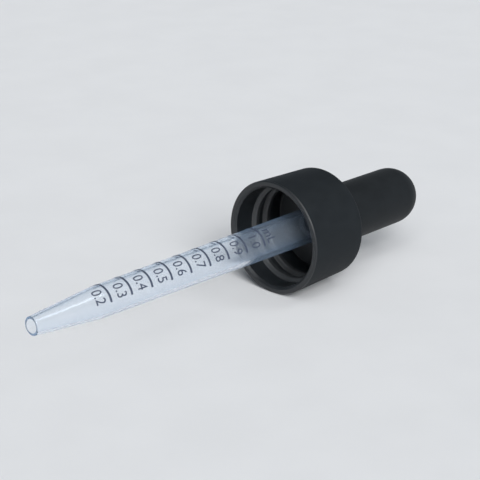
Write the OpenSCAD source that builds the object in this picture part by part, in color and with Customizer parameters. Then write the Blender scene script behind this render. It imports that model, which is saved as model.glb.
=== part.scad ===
// Medicine dropper: a screw cap, a rubber bulb held in the cap's top, and a graduated pipette pushed into the bulb.
// The axis lies along X, with the pipette's tip towards -X and the bulb towards +X. Z is up.
// The origin is on the axis, at the cap's open rim. All sizes are in millimetres.

/* [Cap] */
// Outside diameter at the open rim
cap_d = 23; // [22.6:0.1:24]
// Outside diameter at the closed end
cap_top_d = 22.1; // [21.8:0.1:22.6]
// Height of the cap
cap_h = 14.7; // [14.4:0.1:16]
// Thickness of the closed end
cap_top_t = 1.5; // [1.2:0.1:2]
// Radius of the outer edge at the closed end
cap_edge_r = 0.9; // [0.4:0.1:1.4]
// Diameter of the plain bore, which clears the neck's thread
bore_d = 20.1; // [19.9:0.05:20.4]
// Diameter of the hole for the bulb's neck
hole_d = 9.6; // [9:0.1:10.2]

/* [Thread] */
// Diameter inside the crest of the thread
crest_d = 18.4; // [18:0.05:18.8]
// Rise of the thread in one turn
pitch = 3.175; // [3:0.025:3.2]
// Turns of thread, run-outs included
thread_turns = 2; // [1:0.25:2]
// Distance from the rim to the middle of the thread's first end
thread_start = 4.4; // [3:0.1:4.6]
// Width of the thread's ridge at its foot
ridge_foot = 1.9; // [1.4:0.1:2.2]
// Width of the thread's ridge at its crest
ridge_crest = 0.8; // [0.5:0.1:1.1]

/* [Bulb] */
// Outside diameter of the bell next to the cap
bell_d = 12; // [11.6:0.1:13]
// Outside diameter of the bell where the dome starts
bell_end_d = 11.8; // [11.4:0.1:13]
// Length of the bell beyond the cap, dome included
bell_len = 27.2; // [27:0.2:34]
// Wall of the bell
bell_wall = 1.5; // [1.3:0.1:1.7]
// Diameter of the sealing flange under the cap's top
flange_d = 17.8; // [16:0.1:18]
// Thickness of the sealing flange
flange_t = 1.3; // [1:0.1:1.6]
// Depth of the socket that grips the pipette's head, flange included
socket_len = 8.6; // [8:0.1:10]

/* [Pressing walls] */
// Length of each pressing wall along the bell
press_len = 14; // [10:0.5:14]
// Width of each pressing wall
press_w = 5.2; // [4:0.2:5.6]
// Play round a pressing wall
press_gap = 0.12; // [0.1:0.02:0.2]

/* [Pipette] */
// Outside diameter of the barrel at the cap's rim
barrel_d = 6.85; // [6.6:0.05:7]
// Outside diameter of the barrel where the tip's cone starts
barrel_low_d = 6; // [5.9:0.1:6.5]
// Diameter of the bore along the graduated barrel
tube_bore_d = 5.1; // [4.6:0.1:5.1]
// Distance from the rim to the start of the tip's cone
cone_start = 46; // [44:0.1:48]
// Distance from the rim to the end of the tip
tip_end = 60.5; // [58:0.5:62]
// Outside diameter of the tip's end
tip_d = 3.5; // [3.4:0.1:3.8]
// Diameter of the outlet
outlet_d = 2.6; // [2:0.1:2.6]
// Diameter of the head pushed into the bulb
head_d = 7; // [6.8:0.1:7]
// Diameter of the stop collar, which lies flush in the bulb's flange
collar_d = 8.2; // [7.8:0.1:8.6]

/* [Scale] */
// First mark, in millilitres
first_mark = 0.2; // [0.2:0.1:0.5]
// Last mark, in millilitres
last_mark = 1; // [0.6:0.1:1]
// Width of a printed line
line_w = 0.45; // [0.2:0.05:0.6]
// Length of a printed line round the barrel, in degrees
line_arc = 120; // [60:2:180]
// Where a printed line ends at the front, in degrees below the top
line_end = 78; // [40:2:100]

/* [Hidden] */
$fn = 96;
rubber_play = 0.1; // play at each face that turns or slides, and round the collar
running_play = 0.05; // radial play of the neck in its hole, and of the pipette's head in its socket
rim_round = 0.3; // outer edge of the rim
lead_in = 0.5; // chamfer at the mouth of the bore
arc_steps = 12; // faces along a rounded edge
rim_steps = 4; // faces along the outer edge of a rim or a foot
thread_step = 10; // degrees between two sections of the thread
run_out = 40; // degrees over which the thread rises to full height
root_sink = 0.3; // how deep the thread's foot lies inside the cap's wall
thread_angle = -60; // where the thread starts, from straight down towards the back
dome_share = 0.51; // the dome's length as a share of its diameter
cavity_slope = 0.6; // length over which the cavity widens behind the socket
press_clear = 0.8; // rubber between the socket's end and a pressing wall
head_short = 0.4; // room behind the pipette's head in its socket
head_chamfer = 0.3; // outer edge of the head
collar_t = 0.6; // thickness of the stop collar
tip_round = 0.2; // outer edge of the tip
ink_t = 0.04; // thickness of the print

dome_len = bell_end_d * dome_share;
bell_start = cap_h + rubber_play;
bell_end = bell_start + bell_len;
dome_start = bell_end - dome_len;
ceiling = cap_h - cap_top_t;
flange_top = ceiling - rubber_play;
seal_x = flange_top - flange_t;
socket_end = seal_x + socket_len;
press_start = socket_end + press_clear;
collar_top = seal_x + collar_t;
recess_end = collar_top + rubber_play;
head_end = socket_end - head_short;
bore_area = PI * pow(tube_bore_d / 2, 2);
cone_volume = PI / 3 * (tip_end - cone_start)
    * (pow(tube_bore_d / 2, 2) + tube_bore_d * outlet_d / 4 + pow(outlet_d / 2, 2));
first_line_x = -cone_start + (first_mark * 1000 - cone_volume) / bore_area;
line_gap = 100 / bore_area; // the barrel's length that holds a tenth of a millilitre

// Outside radius of the barrel at a distance x from the rim
function barrel_r(x) = barrel_d / 2 + (barrel_d - barrel_low_d) / 2 * x / cone_start;

// Points on an arc in the (radius, x) plane, from angle a to angle b
function arc(cr, cx, r, a, b, n = arc_steps) =
    [for (i = [0:n]) [cr + r * cos(a + (b - a) * i / n), cx + r * sin(a + (b - a) * i / n)]];

// Points on a quarter of an ellipse, from its side to its end on the axis
function dome(r, start, len, n = 2 * arc_steps) =
    [for (i = [0:n]) [i == n ? 0 : r * cos(90 * i / n), start + len * sin(90 * i / n)]];

// Turns a profile of (radius, x) points round the X axis
module turned(points) {
    rotate([0, 90, 0]) rotate_extrude() polygon(points);
}

// How far the thread has risen at t degrees from its start: 0 at its ends, 1 along the middle
function rise(t, all) = min(1, t / run_out, (all - t) / run_out);

// One section of the thread's ridge: two points inside the wall, two at the crest
function ridge_section(t, all) =
    let (a = thread_angle + t, z = thread_start + pitch * t / 360,
         foot_r = bore_d / 2 + root_sink,
         top_r = foot_r - root_sink / 2 - (bore_d / 2 + root_sink / 2 - crest_d / 2) * rise(t, all))
    [for (p = [[foot_r, -ridge_foot / 2], [top_r, -ridge_crest / 2],
               [top_r, ridge_crest / 2], [foot_r, ridge_foot / 2]])
        [p[0] * cos(a), p[0] * sin(a), z + p[1]]];

// Right-handed ridge on the wall of the bore
module thread_ridge() {
    all = thread_turns * 360;
    n = ceil(all / thread_step);
    points = [for (i = [0:n]) each ridge_section(all * i / n, all)];
    sides = [for (i = [0:n - 1], k = [0:3])
        let (p = 4 * i + k, q = 4 * i + (k + 1) % 4)
        each [[p, p + 4, q + 4], [p, q + 4, q]]];
    ends = [[0, 1, 2], [0, 2, 3], [4 * n, 4 * n + 2, 4 * n + 1], [4 * n, 4 * n + 3, 4 * n + 2]];
    rotate([0, 90, 0]) polyhedron(points, concat(sides, ends));
}

module screw_cap() {
    top_r = cap_top_d / 2;
    color([0.13, 0.14, 0.15]) union() {
        turned(concat(
            [[bore_d / 2, lead_in], [bore_d / 2 + lead_in, 0]],
            arc(cap_d / 2 - rim_round, rim_round, rim_round, -90, 0, rim_steps),
            arc(top_r - cap_edge_r, cap_h - cap_edge_r, cap_edge_r, 0, 90),
            [[hole_d / 2, cap_h], [hole_d / 2, ceiling], [bore_d / 2, ceiling]]));
        thread_ridge();
    }
}

// Outline of the whole bulb with its cavity, before the pressing walls are parted from it
module bulb_body() {
    socket_r = head_d / 2 + running_play;
    recess_r = collar_d / 2 + rubber_play;
    neck_r = hole_d / 2 - running_play;
    inner_r = bell_d / 2 - bell_wall;
    inner_end_r = bell_end_d / 2 - bell_wall;
    turned(concat(
        [[socket_r, recess_end], [recess_r, recess_end], [recess_r, seal_x]],
        arc(flange_d / 2 - rim_round, seal_x + rim_round, rim_round, -90, 0, rim_steps),
        [[flange_d / 2, flange_top], [neck_r, flange_top], [neck_r, bell_start]],
        arc(bell_d / 2 - rim_round, bell_start + rim_round, rim_round, -90, 0, rim_steps),
        dome(bell_end_d / 2, dome_start, dome_len),
        [for (p = [len(dome(inner_end_r, dome_start, dome_len)) - 1:-1:0])
            dome(inner_end_r, dome_start, dome_len - bell_wall)[p]],
        [[inner_r, socket_end + cavity_slope], [socket_r, socket_end]]));
}

// Block through one side of the bell, side -1 at the front and 1 at the back
module press_block(side, grow) {
    depth = bell_end_d;
    translate([press_start - grow, side > 0 ? 0 : -depth, -press_w / 2 - grow])
        cube([press_len + 2 * grow, depth, press_w + 2 * grow]);
}

module rubber_bulb() {
    color([0.11, 0.12, 0.13]) difference() {
        bulb_body();
        press_block(-1, press_gap);
        press_block(1, press_gap);
    }
}

module press_wall(side) {
    color([0.16, 0.17, 0.18]) intersection() {
        bulb_body();
        press_block(side, 0);
    }
}

module bulb_front_wall() {
    press_wall(-1);
}

module bulb_back_wall() {
    press_wall(1);
}

module pipette() {
    tip_r = tip_d / 2;
    color([0.80, 0.83, 0.92]) turned(concat(
        [[outlet_d / 2, -tip_end]],
        arc(tip_r - tip_round, tip_round - tip_end, tip_round, -90, 0, rim_steps),
        [[barrel_r(-cone_start), -cone_start],
         [barrel_r(seal_x), seal_x],
         [collar_d / 2, seal_x],
         [collar_d / 2, collar_top],
         [head_d / 2, collar_top],
         [head_d / 2, head_end - head_chamfer],
         [head_d / 2 - head_chamfer, head_end],
         [tube_bore_d / 2, head_end],
         [tube_bore_d / 2, -cone_start]]));
}

// Printed lines, one for each tenth of a millilitre, ending at the front of the barrel
module scale_lines() {
    count = round((last_mark - first_mark) * 10);
    color([0.13, 0.15, 0.20]) for (i = [0:count]) {
        x = first_line_x + line_gap * i;
        low = barrel_r(x - line_w / 2);
        high = barrel_r(x + line_w / 2);
        rotate([0, 90, 0]) rotate([0, 0, 180 + line_end - line_arc])
            rotate_extrude(angle = line_arc)
                polygon([[low, x - line_w / 2], [low + ink_t, x - line_w / 2],
                         [high + ink_t, x + line_w / 2], [high, x + line_w / 2]]);
    }
}

screw_cap();
rubber_bulb();
bulb_front_wall();
bulb_back_wall();
pipette();
scale_lines();
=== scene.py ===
# A medicine dropper lying on a pale table: screw cap, squeeze bulb and graduated pipette.
# The common axis is X, with the pipette's tip towards -X. Sizes in the dictionaries are in millimetres.
import math
import bmesh
import bpy
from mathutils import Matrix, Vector


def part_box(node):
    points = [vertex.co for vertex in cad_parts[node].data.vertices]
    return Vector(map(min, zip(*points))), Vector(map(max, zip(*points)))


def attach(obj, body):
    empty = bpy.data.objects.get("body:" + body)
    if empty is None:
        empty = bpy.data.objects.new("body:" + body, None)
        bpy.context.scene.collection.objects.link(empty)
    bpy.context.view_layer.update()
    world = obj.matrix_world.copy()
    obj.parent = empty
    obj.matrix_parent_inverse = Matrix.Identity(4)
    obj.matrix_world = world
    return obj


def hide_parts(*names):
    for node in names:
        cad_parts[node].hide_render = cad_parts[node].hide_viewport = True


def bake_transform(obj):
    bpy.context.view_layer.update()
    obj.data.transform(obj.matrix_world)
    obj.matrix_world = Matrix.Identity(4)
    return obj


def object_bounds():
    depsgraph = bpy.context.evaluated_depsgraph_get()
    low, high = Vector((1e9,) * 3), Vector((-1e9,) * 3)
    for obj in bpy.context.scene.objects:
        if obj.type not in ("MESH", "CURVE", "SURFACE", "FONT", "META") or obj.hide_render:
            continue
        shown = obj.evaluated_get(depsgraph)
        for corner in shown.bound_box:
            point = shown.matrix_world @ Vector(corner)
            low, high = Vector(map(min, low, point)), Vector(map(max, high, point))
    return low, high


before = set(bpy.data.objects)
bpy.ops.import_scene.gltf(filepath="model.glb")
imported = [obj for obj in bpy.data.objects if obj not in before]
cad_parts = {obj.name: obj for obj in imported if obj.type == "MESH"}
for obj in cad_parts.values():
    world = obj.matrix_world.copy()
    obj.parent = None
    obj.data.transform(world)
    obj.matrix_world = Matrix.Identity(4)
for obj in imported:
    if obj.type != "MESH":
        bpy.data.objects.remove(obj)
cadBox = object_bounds()
mm = 0.001
print("frame loaded:", ", ".join(sorted(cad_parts)))


# ---- shared mesh work ----

# Points along an outline whose corners (x, r, rounding) are rounded off
def roundedOutline(corners, degreesPerStep=10):
    points = []
    for i, (x, r, rounding) in enumerate(corners):
        here = Vector((x, r))
        before = Vector(corners[i - 1][:2]) - here
        after = Vector(corners[(i + 1) % len(corners)][:2]) - here
        if rounding == 0:
            points.append(here)
            continue
        half = before.angle(after) / 2
        middle = (before.normalized() + after.normalized()).normalized()
        centre = here + middle * rounding / math.sin(half)
        first = here + before.normalized() * rounding / math.tan(half) - centre
        last = here + after.normalized() * rounding / math.tan(half) - centre
        sweep = math.pi - 2 * half
        steps = max(3, math.ceil(math.degrees(sweep) / degreesPerStep))
        for k in range(steps + 1):
            t = k / steps
            spoke = first * math.sin((1 - t) * sweep) + last * math.sin(t * sweep)
            points.append(centre + spoke / math.sin(sweep))
    return points


# The same closed outline with no step longer than the given one
def finerOutline(points, longest):
    finer = []
    for a, b in zip(points, points[1:] + points[:1]):
        count = max(1, math.ceil((b - a).length / longest))
        finer += [a.lerp(b, k / count) for k in range(count)]
    return finer


# Turns a closed outline of (x, r) points in mm round the X axis. Angle 0 is the front, 90 the top.
# The normals follow the outline, so that neighbouring pieces of one surface shade as one: at a cut across the
# surface, at cutX, they follow the side that goes on.
def turnedBody(name, outline, steps=192, start=0, sweep=360, cutX=None):
    whole = sweep == 360
    rings = steps if whole else steps + 1
    bm = bmesh.new()
    normals = bm.verts.layers.float_vector.new("outlineNormal")
    grid = []
    for i in range(rings):
        angle = math.radians(start + sweep * i / steps)
        out = Vector((0, -math.cos(angle), math.sin(angle)))
        ring = []
        for k, point in enumerate(outline):
            before, after = outline[k - 1], outline[(k + 1) % len(outline)]
            if cutX is not None and abs(point.x - cutX) < 1e-6:
                before = point if abs(before.x - cutX) < 1e-6 else before
                after = point if abs(after.x - cutX) < 1e-6 else after
            along = after - before
            v = bm.verts.new((Vector((point.x, 0, 0)) + out * point.y) * mm)
            v[normals] = (Vector((along.y, 0, 0)) - out * along.x).normalized()
            ring.append(v)
        grid.append(ring)
    for i in range(steps):
        a, b = grid[i], grid[(i + 1) % rings]
        for k in range(len(outline)):
            m = (k + 1) % len(outline)
            if outline[k].y < 1e-6 and outline[m].y < 1e-6:
                continue
            bm.faces.new((a[k], a[m], b[m], b[k]))
    if not whole:
        bm.faces.new(grid[0])
        bm.faces.new(list(reversed(grid[-1])))
    bmesh.ops.remove_doubles(bm, verts=bm.verts, dist=1e-8)
    bmesh.ops.recalc_face_normals(bm, faces=bm.faces)
    return finishedMesh(name, bm)


# Makes the object, smooth all over, with the outline's own normals where it has any
def finishedMesh(name, bm):
    layer = bm.verts.layers.float_vector.get("outlineNormal")
    bm.normal_update()
    own = []
    for v in bm.verts:
        n = v[layer].copy() if layer else Vector()
        if n.length > 0 and n.dot(v.normal) < 0:
            n.negate()
        own.append(n)
    for face in bm.faces:
        face.smooth = True
    mesh = bpy.data.meshes.new(name)
    bm.to_mesh(mesh)
    bm.free()
    if layer:
        mesh.normals_split_custom_set_from_vertices([tuple(n) for n in own])
        mesh.attributes.remove(mesh.attributes["outlineNormal"])
    piece = bpy.data.objects.new(name, mesh)
    bpy.context.scene.collection.objects.link(piece)
    return piece


def smoothStep(t):
    t = min(1, max(0, t))
    return t * t * (3 - 2 * t)


# ---- shared material work ----

# One noise pattern in the object's own millimetres. stretch is longer along X than across it.
def grain(tree, size, stretch=1, detail=4, rough=0.55):
    place = tree.nodes.new("ShaderNodeTexCoord")
    scale = tree.nodes.new("ShaderNodeMapping")
    scale.inputs["Scale"].default_value = (1 / (size * mm * stretch), 1 / (size * mm), 1 / (size * mm))
    tree.links.new(place.outputs["Object"], scale.inputs["Vector"])
    noise = tree.nodes.new("ShaderNodeTexNoise")
    noise.inputs["Scale"].default_value = 1
    noise.inputs["Detail"].default_value = detail
    noise.inputs["Roughness"].default_value = rough
    tree.links.new(scale.outputs["Vector"], noise.inputs["Vector"])
    return noise.outputs["Fac"]


# Spreads a pattern's middle part over the range from low to high
def spread(tree, pattern, low, high, fromLow=0.3, fromHigh=0.7):
    mapped = tree.nodes.new("ShaderNodeMapRange")
    mapped.inputs["From Min"].default_value = fromLow
    mapped.inputs["From Max"].default_value = fromHigh
    mapped.inputs["To Min"].default_value = low
    mapped.inputs["To Max"].default_value = high
    tree.links.new(pattern, mapped.inputs["Value"])
    return mapped.outputs["Result"]


# Mixes two colours by a pattern
def tinted(tree, pattern, darker, lighter, fromLow=0.35, fromHigh=0.65):
    ramp = tree.nodes.new("ShaderNodeValToRGB")
    ramp.color_ramp.elements[0].position = fromLow
    ramp.color_ramp.elements[0].color = (*darker, 1)
    ramp.color_ramp.elements[1].position = fromHigh
    ramp.color_ramp.elements[1].color = (*lighter, 1)
    tree.links.new(pattern, ramp.inputs["Fac"])
    return ramp.outputs["Color"]


# Adds relief from a pattern on top of the relief before it, height in mm
def relief(tree, pattern, height, before=None):
    bump = tree.nodes.new("ShaderNodeBump")
    bump.inputs["Strength"].default_value = 1
    bump.inputs["Distance"].default_value = height * mm
    tree.links.new(pattern, bump.inputs["Height"])
    if before:
        tree.links.new(before, bump.inputs["Normal"])
    return bump.outputs["Normal"]


def newMaterial(name):
    material = bpy.data.materials.new(name)
    material.use_nodes = True
    tree = material.node_tree
    return material, tree, tree.nodes["Principled BSDF"]


# Black moulded polypropylene: dull where the mould was spark-eroded, shinier at the rim and in the bore, and
# shiniest on the thread, which slides against the neck
capFinishes = {
    "capPlastic": {"dark": (0.0082, 0.0106, 0.0128), "light": (0.0110, 0.0138, 0.0163), "specular": 0.16,
                   "rough": (0.60, 0.70), "grainHeight": 0.004, "flowHeight": 0.006},
    "rimPlastic": {"dark": (0.0052, 0.0070, 0.0088), "light": (0.0076, 0.0098, 0.0120), "specular": 0.62,
                   "rough": (0.36, 0.46), "grainHeight": 0.001, "flowHeight": 0.004},
    "threadPlastic": {"dark": (0.0090, 0.0110, 0.0128), "light": (0.0120, 0.0142, 0.0165), "specular": 1.0,
                      "rough": (0.46, 0.54), "grainHeight": 0.001, "flowHeight": 0.003},
}


def capPlastic(name):
    look = {"patch": 2.6, "grain": 0.16, "flow": 1.2} | capFinishes[name]
    material, tree, shader = newMaterial(name)
    patches = grain(tree, look["patch"], detail=6)
    tree.links.new(tinted(tree, patches, look["dark"], look["light"]), shader.inputs["Base Color"])
    fine = grain(tree, look["grain"], detail=3)
    tree.links.new(spread(tree, patches, *look["rough"]), shader.inputs["Roughness"])
    shader.inputs["IOR"].default_value = 1.49
    shader.inputs["Specular IOR Level"].default_value = look["specular"]
    normal = relief(tree, fine, look["grainHeight"])
    normal = relief(tree, grain(tree, look["flow"], stretch=4), look["flowHeight"], normal)
    tree.links.new(normal, shader.inputs["Normal"])
    return material


# Black soft rubber: duller than the cap, with a powdery grain and faint pale bloom.
# It is smooth where it seals.
def bulbRubber(sealing):
    look = {"dark": (0.0062, 0.0080, 0.0095), "light": (0.0098, 0.0120, 0.0140), "specular": 0.14,
            "rough": (0.56, 0.68), "bloom": 3.4, "grain": 0.11, "grainHeight": 0.005, "dent": 0.9,
            "dentHeight": 0.009}
    if sealing:
        look |= {"specular": 0.8, "rough": (0.42, 0.50), "grainHeight": 0.001, "dentHeight": 0.003}
    material, tree, shader = newMaterial("sealRubber" if sealing else "bulbRubber")
    bloom = grain(tree, look["bloom"], detail=8, rough=0.65)
    tree.links.new(tinted(tree, bloom, look["dark"], look["light"]), shader.inputs["Base Color"])
    tree.links.new(spread(tree, bloom, *look["rough"]), shader.inputs["Roughness"])
    shader.inputs["IOR"].default_value = 1.5
    shader.inputs["Specular IOR Level"].default_value = look["specular"]
    shader.inputs["Sheen Weight"].default_value = 0.03
    shader.inputs["Sheen Roughness"].default_value = 0.5
    normal = relief(tree, grain(tree, look["grain"], detail=3), look["grainHeight"])
    normal = relief(tree, grain(tree, look["dent"]), look["dentHeight"], normal)
    tree.links.new(normal, shader.inputs["Normal"])
    return material


# Natural polyethylene: nearly clear, a little cloudy, with faint flow lines along the barrel
def pipettePlastic():
    look = {"cloudy": (0.915, 0.942, 0.968), "clear": (0.962, 0.975, 0.988),
            "cloud": 1.6, "flow": 0.9, "flowHeight": 0.0006, "grain": 0.2, "grainHeight": 0.0004}
    material, tree, shader = newMaterial("pipettePlastic")
    clouds = grain(tree, look["cloud"], stretch=5, detail=5)
    flow = grain(tree, look["flow"], stretch=12)
    tree.links.new(tinted(tree, clouds, look["cloudy"], look["clear"]), shader.inputs["Base Color"])
    tree.links.new(spread(tree, flow, 0.06, 0.10), shader.inputs["Roughness"])
    shader.inputs["IOR"].default_value = 1.38
    shader.inputs["Transmission Weight"].default_value = 0.974
    shader.inputs["Specular Tint"].default_value = (0.80, 0.90, 1.0, 1)
    shader.inputs["Sheen Weight"].default_value = 0.14    # the bluish haze of the plastic
    shader.inputs["Sheen Roughness"].default_value = 0.7
    shader.inputs["Sheen Tint"].default_value = (0.36, 0.62, 1.0, 1)
    normal = relief(tree, grain(tree, look["grain"], detail=3), look["grainHeight"])
    normal = relief(tree, flow, look["flowHeight"], normal)
    tree.links.new(normal, shader.inputs["Normal"])
    return material


# Printed ink, a little uneven where the plate pressed less
def scaleInk():
    look = {"full": (0.030, 0.040, 0.070), "thin": (0.095, 0.115, 0.165), "print": 0.22, "height": 0.004}
    material, tree, shader = newMaterial("scaleInk")
    cover = grain(tree, look["print"], detail=5, rough=0.7)
    tree.links.new(tinted(tree, cover, look["full"], look["thin"], 0.42, 0.72), shader.inputs["Base Color"])
    tree.links.new(spread(tree, cover, 0.38, 0.55), shader.inputs["Roughness"])
    tree.links.new(relief(tree, cover, look["height"]), shader.inputs["Normal"])
    return material


# Pale matt table top
def tableCard():
    look = {"dark": (0.724, 0.731, 0.744), "light": (0.740, 0.747, 0.760), "mottle": 14, "grain": 0.5,
            "grainHeight": 0.01}
    material, tree, shader = newMaterial("tableCard")
    mottle = grain(tree, look["mottle"])
    tree.links.new(tinted(tree, mottle, look["dark"], look["light"]), shader.inputs["Base Color"])
    tree.links.new(spread(tree, mottle, 0.75, 0.85), shader.inputs["Roughness"])
    shader.inputs["Specular IOR Level"].default_value = 0.2
    tree.links.new(relief(tree, grain(tree, look["grain"]), look["grainHeight"]), shader.inputs["Normal"])
    return material


def wearing(piece, material):
    piece.data.materials.clear()
    piece.data.materials.append(material)
    return piece


plastic, rimPlastic, threadPlastic = (capPlastic(name) for name in capFinishes)
rubber = bulbRubber(False)
sealRubber = bulbRubber(True)
milky = pipettePlastic()
ink = scaleInk()
print("materials mixed")


# ---- screw cap ----

capLow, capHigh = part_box("screw_cap")
cap = {
    "rimX": capLow.x / mm,
    "endX": capHigh.x / mm,
    "rimR": capHigh.y / mm,
    "endR": 11.05,
    "endEdge": 0.9,
    "rimEdge": 0.3,
    "boreR": 10.05,
    "leadIn": 0.5,
    "leadInEdge": 0.15,
    "holeR": 4.8,
    "holeEdge": 0.15,
    "topThickness": 1.5,
    "cornerFillet": 0.4,
    "longestStep": 1.0,
    "boreReach": 0.3,      # how far past the bore's radius a face still counts as inside
    "topReach": 0.5,       # how far short of the end it stops counting
}
thread = {
    "crestR": 9.2,
    "pitch": 3.175,
    "turns": 2,
    "startX": 4.4,         # middle of the first end
    "startDegrees": -60,   # from straight down towards the back
    "footWidth": 1.9,
    "crestWidth": 0.8,
    "runOut": 40,          # degrees over which the ridge rises
    "degreesPerStep": 3,
    "sink": 0.3,           # how deep its foot lies in the wall
    "seam": 0.01,          # how deep its edges lie in the wall
}


# The ridge's outline at one place: (x, r) points over the crest, and two in the wall
def ridgeSection(middleX, rise, points=18):
    wide, flat = thread["footWidth"] / 2, thread["crestWidth"] / 2
    height = (cap["boreR"] - thread["crestR"]) * rise
    section = []
    for k in range(points + 1):
        s = wide * (2 * k / points - 1)
        share = 1 - smoothStep((abs(s) - flat) / (wide - flat))
        section.append((middleX + s, cap["boreR"] + thread["seam"] - height * share))
    deep = cap["boreR"] + thread["sink"]
    return section + [(middleX + wide, deep), (middleX - wide, deep)]


def addThread(bm):
    sweep = thread["turns"] * 360
    count = round(sweep / thread["degreesPerStep"])
    rings = []
    for i in range(count + 1):
        t = sweep * i / count
        angle = math.radians(thread["startDegrees"] + t)
        rise = smoothStep(min(1, t / thread["runOut"], (sweep - t) / thread["runOut"]))
        section = ridgeSection(thread["startX"] + thread["pitch"] * t / 360, rise)
        rings.append([
            bm.verts.new(Vector((x, r * math.sin(angle), -r * math.cos(angle))) * mm) for x, r in section
        ])
    for a, b in zip(rings, rings[1:]):
        for k in range(len(a)):
            m = (k + 1) % len(a)
            bm.faces.new((a[k], b[k], b[m], a[m]))
    bm.faces.new(rings[0])
    bm.faces.new(list(reversed(rings[-1])))


def makeCap():
    outline = roundedOutline([
        (cap["rimX"], cap["boreR"] + cap["leadIn"], cap["leadInEdge"]),
        (cap["rimX"], cap["rimR"], cap["rimEdge"]),
        (cap["endX"], cap["endR"], cap["endEdge"]),
        (cap["endX"], cap["holeR"], cap["holeEdge"]),
        (cap["endX"] - cap["topThickness"], cap["holeR"], cap["holeEdge"]),
        (cap["endX"] - cap["topThickness"], cap["boreR"], cap["cornerFillet"]),
        (cap["rimX"] + cap["leadIn"], cap["boreR"], cap["leadInEdge"]),
    ])
    shell = turnedBody("cap", finerOutline(outline, cap["longestStep"]), steps=256)
    bm = bmesh.new()
    addThread(bm)
    bmesh.ops.recalc_face_normals(bm, faces=bm.faces)
    ridge = finishedMesh("capThread", bm)
    wearing(shell, plastic)
    shell.data.materials.append(rimPlastic)
    for face in shell.data.polygons:
        x, y, z = face.center / mm
        nearBore = math.hypot(y, z) < cap["boreR"] + cap["boreReach"]
        inside = nearBore and x < cap["endX"] - cap["topReach"]
        if inside or x < cap["rimX"] + cap["rimEdge"]:
            face.material_index = 1
    wearing(ridge, threadPlastic)
    for piece in (shell, ridge):
        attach(piece, "cap")
    ridge.parent = shell
    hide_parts("screw_cap")


makeCap()
print("cap turned, thread cut")


# ---- squeeze bulb ----

bulbLow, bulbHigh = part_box("rubber_bulb")
bulb = {
    "sealX": bulbLow.x / mm,
    "endX": bulbHigh.x / mm,
    "flangeR": bulbHigh.y / mm,
    "flangeEndX": 13.1,
    "neckR": 4.75,
    "startX": 14.8,        # where the bell stands on the cap
    "bellR": 6,
    "bellEndR": 5.9,
    "domeLength": 6.02,
    "wall": 1.5,
    "edge": 0.3,
    "socketR": 3.55,
    "recessR": 4.2,
    "recessX": 12.5,
    "socketEndX": 20.4,
    "middleX": 28,         # where finger and thumb press
    "pressDepth": 6,       # distance from the middle over which the wall starts to give
    "pressReach": 13,      # distance along the bell over which it stops giving
    "longestStep": 0.5,
    "socketBevel": 0.6,    # how far the cavity's corner lies past the socket's end
    "cavityRounding": 0.8,
    "softEdge": 0.15,
    "neckEdge": 0.1,
    "neckOverlap": 0.02,   # how far the neck reaches into the bell
}
bulb["domeX"] = bulb["endX"] - bulb["domeLength"]


# Points on a quarter of an ellipse, from the bell's side to its end
def domePoints(radius, length, steps=26):
    quarter = [math.pi / 2 * k / steps for k in range(steps + 1)]
    return [Vector((bulb["domeX"] + length * math.sin(a), max(0, radius * math.cos(a)))) for a in quarter]


# Outline of the bell from the cap to the pressed middle
def nearOutline():
    slope = (bulb["bellEndR"] - bulb["bellR"]) / (bulb["domeX"] - bulb["startX"])
    outerR = bulb["bellR"] + slope * (bulb["middleX"] - bulb["startX"])
    innerR = outerR - bulb["wall"]
    return finerOutline(roundedOutline([
        (bulb["startX"], bulb["socketR"], 0),
        (bulb["startX"], bulb["bellR"], bulb["edge"]),
        (bulb["middleX"], outerR, 0),
        (bulb["middleX"], innerR, 0),
        (bulb["socketEndX"] + bulb["socketBevel"], bulb["bellR"] - bulb["wall"], bulb["cavityRounding"]),
        (bulb["socketEndX"], bulb["socketR"], bulb["softEdge"]),
    ]), bulb["longestStep"]), outerR


# Outline of the bell from the pressed middle to the domed end
def farOutline(outerR):
    outside = domePoints(bulb["bellEndR"], bulb["domeLength"])
    inside = domePoints(bulb["bellEndR"] - bulb["wall"], bulb["domeLength"] - bulb["wall"])
    start = [Vector((bulb["middleX"], outerR - bulb["wall"])), Vector((bulb["middleX"], outerR))]
    return finerOutline(start + outside + list(reversed(inside)), bulb["longestStep"])


# Bakes the piece's transform into its mesh; the bell keeps its turned shape
def pressed(piece):
    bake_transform(piece)


def makeBulb():
    near, outerR = nearOutline()
    far = farOutline(outerR)
    for side, start, where in ((-1, -90, "Front"), (1, 90, "Back")):
        for outline, isFar, name in ((near, False, "bulbNear"), (far, True, "bulbFar")):
            part = turnedBody(name + where, outline, 96, start, 180, cutX=bulb["middleX"])
            wearing(part, rubber)
            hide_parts("bulb_front_wall" if side < 0 else "bulb_back_wall")
            pressed(part)


def makeBulbNeck():
    edge = bulb["neckEdge"]
    neckEndX = bulb["startX"] + bulb["neckOverlap"]
    outline = roundedOutline([
        (bulb["recessX"], bulb["socketR"], edge),
        (bulb["recessX"], bulb["recessR"], edge),
        (bulb["sealX"], bulb["recessR"], edge),
        (bulb["sealX"], bulb["flangeR"], bulb["edge"]),
        (bulb["flangeEndX"], bulb["flangeR"], bulb["softEdge"]),
        (bulb["flangeEndX"], bulb["neckR"], edge),
        (neckEndX, bulb["neckR"], edge),
        (neckEndX, bulb["socketR"], edge),
    ])
    neck = wearing(turnedBody("bulbNeck", finerOutline(outline, 1.0)), sealRubber)
    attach(neck, "bulb")
    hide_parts("rubber_bulb")


makeBulb()
makeBulbNeck()
print("bulb moulded")


# ---- pipette ----

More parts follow.
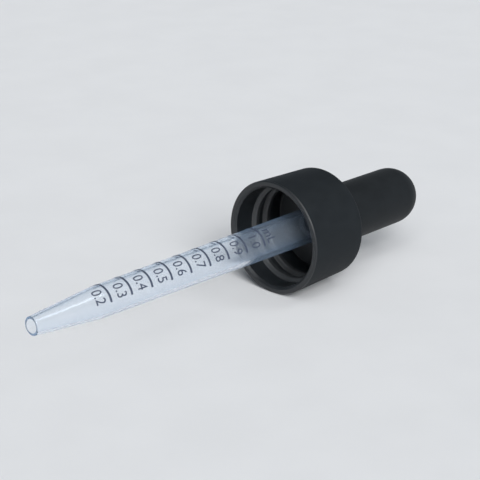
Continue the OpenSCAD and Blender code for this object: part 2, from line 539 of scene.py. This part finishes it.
pipetteLow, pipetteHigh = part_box("pipette")
pipette = {
    "tipX": pipetteLow.x / mm,
    "headX": pipetteHigh.x / mm,
    "coneX": -46,
    "rimR": 3.425,         # outside radius at the cap's rim
    "coneR": 3,            # outside radius where the cone starts
    "tipR": 1.75,
    "tipEdge": 0.2,
    "outletR": 1.3,
    "boreR": 2.55,
    "shoulder": 14,        # rounding between barrel and cone
    "collarX": 11.8,
    "collarR": 4.1,
    "collarThickness": 0.6,
    "headR": 3.5,
    "headChamfer": 0.3,
    "footEdge": 0.15,      # where the barrel meets the collar, and round the bore's upper end
    "collarEdge": 0.12,
    "neckEdge": 0.1,
    "outletEdge": 0.12,
    "longestStep": 1.0,
}


def barrelR(x):
    return pipette["rimR"] + (pipette["coneR"] - pipette["rimR"]) * x / pipette["coneX"]


def makePipette():
    collarTop = pipette["collarX"] + pipette["collarThickness"]
    outline = roundedOutline([
        (pipette["tipX"], pipette["outletR"], pipette["outletEdge"]),
        (pipette["tipX"], pipette["tipR"], pipette["tipEdge"]),
        (pipette["coneX"], pipette["coneR"], pipette["shoulder"]),
        (pipette["collarX"], barrelR(pipette["collarX"]), pipette["footEdge"]),
        (pipette["collarX"], pipette["collarR"], pipette["collarEdge"]),
        (collarTop, pipette["collarR"], pipette["collarEdge"]),
        (collarTop, pipette["headR"], pipette["neckEdge"]),
        (pipette["headX"], pipette["headR"], pipette["headChamfer"]),
        (pipette["headX"], pipette["boreR"], pipette["footEdge"]),
        (pipette["coneX"], pipette["boreR"], pipette["shoulder"]),
    ])
    tube = wearing(turnedBody("pipetteTube", finerOutline(outline, pipette["longestStep"]), steps=160), milky)
    tube.visible_shadow = tube.visible_diffuse = False    # light passes through it
    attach(tube, "pipette")
    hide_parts("pipette")


makePipette()
wearing(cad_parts["scale_lines"], ink)
print("pipette turned, lines inked")


# ---- numbers beside the lines ----

scaleLow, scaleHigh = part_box("scale_lines")
numbers = {
    "first": 2,            # tenths of a millilitre
    "last": 10,
    "height": 2.3,
    "widen": 0.78,         # narrower than the font's own width
    "below": 0.75,         # gap between a line and the top of its number
    "endDegrees": 74,      # where each number ends, from the top towards the front
    "thickness": 0.04,
    "unitX": -4.6,         # foot of the unit after the last line
    "lineWidth": 0.45,
    "digitTop": 0.729,     # height of a digit in a font of size 1
    "slice": 0.2,
}


# A word as a thin solid: x is the reading direction from its right end, y the height
def letteredMesh(word, height):
    curve = bpy.data.curves.new("word", "FONT")
    curve.body = word
    curve.size = 1
    curve.extrude = numbers["thickness"] / 2
    holder = bpy.data.objects.new("word", curve)
    bpy.context.scene.collection.objects.link(holder)
    bpy.context.view_layer.update()
    mesh = bpy.data.meshes.new_from_object(holder.evaluated_get(bpy.context.evaluated_depsgraph_get()))
    bpy.data.objects.remove(holder)
    scale = height / numbers["digitTop"]
    right = max(v.co.x for v in mesh.vertices)
    for v in mesh.vertices:
        v.co = ((v.co.x - right) * scale * numbers["widen"], v.co.y * scale, v.co.z)
    return mesh


# Lays a word round the barrel, with its foot towards the tip and its end at the front
def wrapWord(bm, word, footX, height):
    flat = bmesh.new()
    mesh = letteredMesh(word, height)
    flat.from_mesh(mesh)
    bpy.data.meshes.remove(mesh)
    bmesh.ops.remove_doubles(flat, verts=flat.verts, dist=1e-5)
    left = min(v.co.x for v in flat.verts)
    for k in range(1, math.ceil(-left / numbers["slice"])):
        everything = flat.verts[:] + flat.edges[:] + flat.faces[:]
        bmesh.ops.bisect_plane(flat, geom=everything, dist=1e-5, plane_co=(-k * numbers["slice"], 0, 0),
                               plane_no=(1, 0, 0))
    for v in flat.verts:
        x = footX + v.co.y
        base = barrelR(x)
        angle = math.radians(numbers["endDegrees"]) + v.co.x / base
        r = base + numbers["thickness"] / 2 + v.co.z
        v.co = Vector((x, -r * math.sin(angle), r * math.cos(angle))) * mm
    part = bpy.data.meshes.new("part")
    flat.to_mesh(part)
    flat.free()
    bm.from_mesh(part)
    bpy.data.meshes.remove(part)


def makeNumbers():
    bm = bmesh.new()
    firstX, lastX = scaleLow.x / mm, scaleHigh.x / mm
    gap = (lastX - firstX - numbers["lineWidth"]) / (numbers["last"] - numbers["first"])
    for tenth in range(numbers["first"], numbers["last"] + 1):
        lineX = firstX + gap * (tenth - numbers["first"])
        wrapWord(bm, f"{tenth / 10:.1f}", lineX - numbers["below"] - numbers["height"], numbers["height"])
    wrapWord(bm, "mL", numbers["unitX"], numbers["height"])
    bmesh.ops.recalc_face_normals(bm, faces=bm.faces)
    mesh = bpy.data.meshes.new("scaleNumbers")
    bm.to_mesh(mesh)
    bm.free()
    piece = bpy.data.objects.new("scaleNumbers", mesh)
    bpy.context.scene.collection.objects.link(piece)
    wearing(piece, ink)
    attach(piece, "pipette")


makeNumbers()
print("numbers printed")


# ---- table, light and camera ----

studio = {
    "tableSize": 6,
    "aim": Vector((0.14, 0, 2.05)) * mm,   # from the middle of the object
    "azimuth": -46.19,
    "elevation": 20.18,
    "distance": 306.6 * mm,
    "lens": 120,
}
middle = (cadBox[0] + cadBox[1]) / 2


def direction(azimuth, elevation):
    a, e = math.radians(azimuth), math.radians(elevation)
    return Vector((math.sin(a) * math.cos(e), -math.cos(a) * math.cos(e), math.sin(e)))


def makeTable():
    half = studio["tableSize"] / 2
    bm = bmesh.new()
    signs = ((-1, -1), (1, -1), (1, 1), (-1, 1))
    bm.faces.new([bm.verts.new((x * half, y * half, cadBox[0].z)) for x, y in signs])
    mesh = bpy.data.meshes.new("table")
    bm.to_mesh(mesh)
    bm.free()
    table = bpy.data.objects.new("table", mesh)
    bpy.context.scene.collection.objects.link(table)
    wearing(table, tableCard())


# A wide soft light from far away. brightness is what it gives a level white floor.
def makeSoftLight(name, azimuth, elevation, width, brightness):
    data = bpy.data.lights.new(name, "SUN")
    data.angle = math.radians(width)
    data.energy = brightness * math.pi / math.sin(math.radians(elevation))
    lamp = bpy.data.objects.new(name, data)
    bpy.context.scene.collection.objects.link(lamp)
    towards = direction(azimuth, elevation)
    lamp.location = middle + towards
    lamp.rotation_euler = (-towards).to_track_quat("-Z", "Y").to_euler()


# Dim overhead, and pale low down, where the walls of the room are
def makeSky():
    world = bpy.data.worlds.new("paleRoom")
    world.use_nodes = True
    tree = world.node_tree
    sky = tree.nodes["Background"]
    sky.inputs["Color"].default_value = (0.80, 0.90, 1.0, 1)
    place = tree.nodes.new("ShaderNodeTexCoord")
    parts = tree.nodes.new("ShaderNodeSeparateXYZ")
    tree.links.new(place.outputs["Generated"], parts.inputs["Vector"])
    tree.links.new(spread(tree, parts.outputs["Z"], 0.75, 0.13, 0.1, 0.45), sky.inputs["Strength"])
    bpy.context.scene.world = world


def makeCamera():
    data = bpy.data.cameras.new("camera")
    data.lens = studio["lens"]
    data.sensor_width = 36
    data.clip_start, data.clip_end = 0.01, 50
    camera = bpy.data.objects.new("camera", data)
    bpy.context.scene.collection.objects.link(camera)
    back = direction(studio["azimuth"], studio["elevation"])
    camera.location = middle + studio["aim"] + back * studio["distance"]
    camera.rotation_euler = (-back).to_track_quat("-Z", "Y").to_euler()
    bpy.context.scene.camera = camera


makeTable()
makeSky()
makeSoftLight("frontLight", -28, 32, 32, 0.47)
makeSoftLight("leftLight", -58, 46, 24, 0.10)
makeSoftLight("topLight", -30, 74, 44, 0.17)
makeSoftLight("rightLight", 52, 56, 18, 0.09)
makeCamera()
bpy.context.scene.view_settings.view_transform = "Standard"
print("studio lit")
